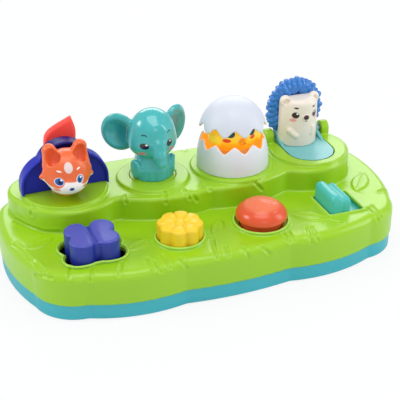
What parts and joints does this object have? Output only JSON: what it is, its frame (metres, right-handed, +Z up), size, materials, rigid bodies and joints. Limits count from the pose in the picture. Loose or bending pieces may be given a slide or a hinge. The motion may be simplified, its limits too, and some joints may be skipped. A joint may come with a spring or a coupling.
{
  "type": "pop up animal toy",
  "caption": "Two-tier toddler toy: a rocker, a turning knob, a push button and a sliding lever on the deck release sprung animals on the tier behind.",
  "frame": {"origin": "under the middle of the toy, on the surface that it stands on", "axes": "+X to the right along the toy, +Y to the back, +Z up"},
  "size_m": [0.3126, 0.145, 0.1145],
  "materials": {
    "lime_plastic": "glossy moulded ABS with a shallow stone and leaf relief",
    "turquoise_plastic": "glossy moulded ABS",
    "rubber": "matt moulded rubber",
    "steel": "bright zinc plated",
    "blue_plastic": "glossy moulded ABS with a fine grained top",
    "yellow_plastic": "glossy moulded ABS",
    "orange_plastic": "glossy moulded ABS",
    "teal_plastic": "glossy moulded ABS",
    "elephant_plastic": "glossy moulded ABS, painted face",
    "egg_plastic": "glossy moulded ABS",
    "chick_plastic": "glossy moulded ABS, painted face",
    "cream_plastic": "glossy moulded ABS, painted face",
    "quill_plastic": "glossy moulded ABS",
    "sky_plastic": "glossy moulded ABS",
    "navy_plastic": "glossy moulded ABS",
    "fox_plastic": "glossy moulded ABS, painted face",
    "tail_plastic": "glossy moulded ABS",
    "inner_plastic": "plain moulded acetal"
  },
  "bodies": {
    "base": {"upper_housing": "lime_plastic", "base_tray": "turquoise_plastic", "rubber_feet": "rubber", "housing_screws": "steel", "elephant_spring": "steel", "chick_spring": "steel", "button_spring": "steel", "flower_spring": "steel", "butterfly_springs": "steel", "lever_spring": "steel", "lower_egg_shell": "egg_plastic", "fox_den": "navy_plastic", "fox_latch_spring": "steel", "elephant_latch_spring": "steel", "chick_latch_spring": "steel", "hedgehog_latch_spring": "steel", "fox_pin": "steel", "butterfly_pin": "steel", "hedgehog_pin": "steel", "fox_spring": "steel", "hedgehog_spring": "steel", "den_screws": "steel", "egg_screws": "steel"},
    "fox": {"fox_head": "fox_plastic", "fox_tail": "tail_plastic", "fox_rocker_arm": "inner_plastic", "fox_screws": "steel"},
    "elephant": {"elephant_figure": "elephant_plastic", "elephant_plunger": "elephant_plastic", "elephant_screw": "steel"},
    "chick": {"chick_figure": "chick_plastic", "upper_egg_shell": "egg_plastic", "chick_plunger": "inner_plastic", "chick_screw": "steel"},
    "hedgehog": {"hedgehog_body": "cream_plastic", "hedgehog_quills": "quill_plastic", "hedgehog_cover": "sky_plastic", "hedgehog_screws": "steel"},
    "butterfly": {"butterfly_rocker": "blue_plastic"},
    "flower": {"flower_knob": "yellow_plastic", "flower_shaft": "inner_plastic"},
    "button": {"round_button": "orange_plastic", "button_plunger": "inner_plastic", "button_screw": "steel"},
    "lever": {"lever_knob": "teal_plastic", "lever_slide": "teal_plastic", "lever_screws": "steel"},
    "fox_catch": {"fox_latch": "inner_plastic"},
    "elephant_catch": {"elephant_latch": "inner_plastic"},
    "chick_catch": {"chick_latch": "inner_plastic"},
    "hedgehog_catch": {"hedgehog_latch": "inner_plastic"}
  },
  "joints": [
    {"name": "fox_nod", "type": "hinge", "parent": "base", "child": "fox", "pos_m": [-0.1012, 0.033, 0.065], "axis": [1, 0, 0], "range_deg": [0, 9], "stiffness_Nm_per_rad": 0.03, "springref_deg": -28.65},
    {"name": "elephant_pop", "type": "slide", "parent": "base", "child": "elephant", "axis": [0, 0, 1], "range_m": [-0.01, 0], "stiffness_N_per_m": 60, "springref_m": 0.03, "deforming": ["elephant_spring"]},
    {"name": "chick_pop", "type": "slide", "parent": "base", "child": "chick", "axis": [0, 0, 1], "range_m": [-0.013, 0], "stiffness_N_per_m": 60, "springref_m": 0.03, "deforming": ["chick_spring"]},
    {"name": "hedgehog_flip", "type": "hinge", "parent": "base", "child": "hedgehog", "pos_m": [0.1005, 0.051, 0.063], "axis": [1, 0, 0], "range_deg": [0, 90], "stiffness_Nm_per_rad": 0.02, "springref_deg": -34.38},
    {"name": "butterfly_rock", "type": "hinge", "parent": "base", "child": "butterfly", "pos_m": [-0.0995, -0.034, 0.026], "axis": [0, 1, 0], "range_deg": [-6, 6], "stiffness_Nm_per_rad": 0.08, "deforming": ["butterfly_springs"]},
    {"name": "flower_turn", "type": "hinge", "parent": "base", "child": "flower", "pos_m": [-0.0345, -0.0374, 0.03], "axis": [0, 0, 1], "range_deg": [0, 40], "stiffness_Nm_per_rad": 0.02, "springref_deg": -17.19},
    {"name": "button_press", "type": "slide", "parent": "base", "child": "button", "axis": [0, 0, 1], "range_m": [-0.005, 0], "stiffness_N_per_m": 150, "springref_m": 0.01, "deforming": ["button_spring"]},
    {"name": "lever_push", "type": "slide", "parent": "base", "child": "lever", "axis": [1, 0, 0], "range_m": [0, 0.009], "stiffness_N_per_m": 80, "springref_m": -0.012, "deforming": ["lever_spring"]},
    {"name": "fox_catch_slide", "type": "slide", "parent": "base", "child": "fox_catch", "axis": [0, 1, 0], "range_m": [-0.0017, 0.0017], "deforming": ["fox_latch_spring"]},
    {"name": "elephant_catch_slide", "type": "slide", "parent": "base", "child": "elephant_catch", "axis": [0, 1, 0], "range_m": [0, 0.0031], "deforming": ["elephant_latch_spring"]},
    {"name": "chick_catch_slide", "type": "slide", "parent": "base", "child": "chick_catch", "axis": [0, 1, 0], "range_m": [0, 0.0031], "stiffness_N_per_m": 20, "springref_m": -0.006, "deforming": ["chick_latch_spring"]},
    {"name": "hedgehog_catch_slide", "type": "slide", "parent": "base", "child": "hedgehog_catch", "axis": [0, 1, 0], "range_m": [0, 0.0031], "stiffness_N_per_m": 20, "springref_m": -0.006, "deforming": ["hedgehog_latch_spring"]}
  ],
  "couplings": [
    {"joint": "fox_catch_slide", "follows": "butterfly_rock", "m_per_rad": -0.0155},
    {"joint": "elephant_catch_slide", "follows": "flower_turn", "m_per_rad": 0.0043},
    {"joint": "chick_catch_slide", "follows": "button_press", "ratio": -0.6},
    {"joint": "hedgehog_catch_slide", "follows": "lever_push", "ratio": 0.33333}
  ]
}
